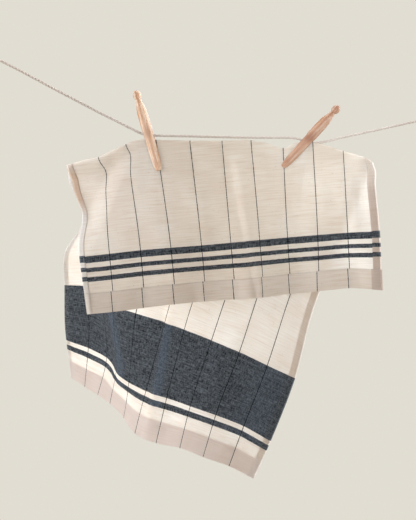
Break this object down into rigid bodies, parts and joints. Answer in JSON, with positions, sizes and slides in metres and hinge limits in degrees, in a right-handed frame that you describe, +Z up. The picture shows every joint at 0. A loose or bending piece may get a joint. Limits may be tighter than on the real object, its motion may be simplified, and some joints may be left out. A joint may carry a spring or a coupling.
{
  "type": "tea towel on a pegged clothesline",
  "caption": "Cotton tea towel with woven pinstripes and banded ends, folded over and pegged to a taut twisted line by slotted wooden pegs, its back flap blown aside.",
  "frame": {"origin": "inside the eye of the loop at the line's left end, where a hook holds it", "axes": "+X runs along the line to the right, +Y goes back from the front flap, and +Z is up"},
  "size_m": [0.6993, 0.2186, 0.6368],
  "materials": {
    "towel_cotton": "matt slub weave, dark pinstripes and a navy band",
    "line_cotton": "matt twisted cord",
    "peg_wood": "turned beech, lightly polished by handling"
  },
  "bodies": {
    "root": {"towel": "towel_cotton", "clothesline": "line_cotton", "left_loop": "line_cotton", "right_loop": "line_cotton", "left_peg": "peg_wood", "right_peg": "peg_wood"}
  },
  "joints": []
}
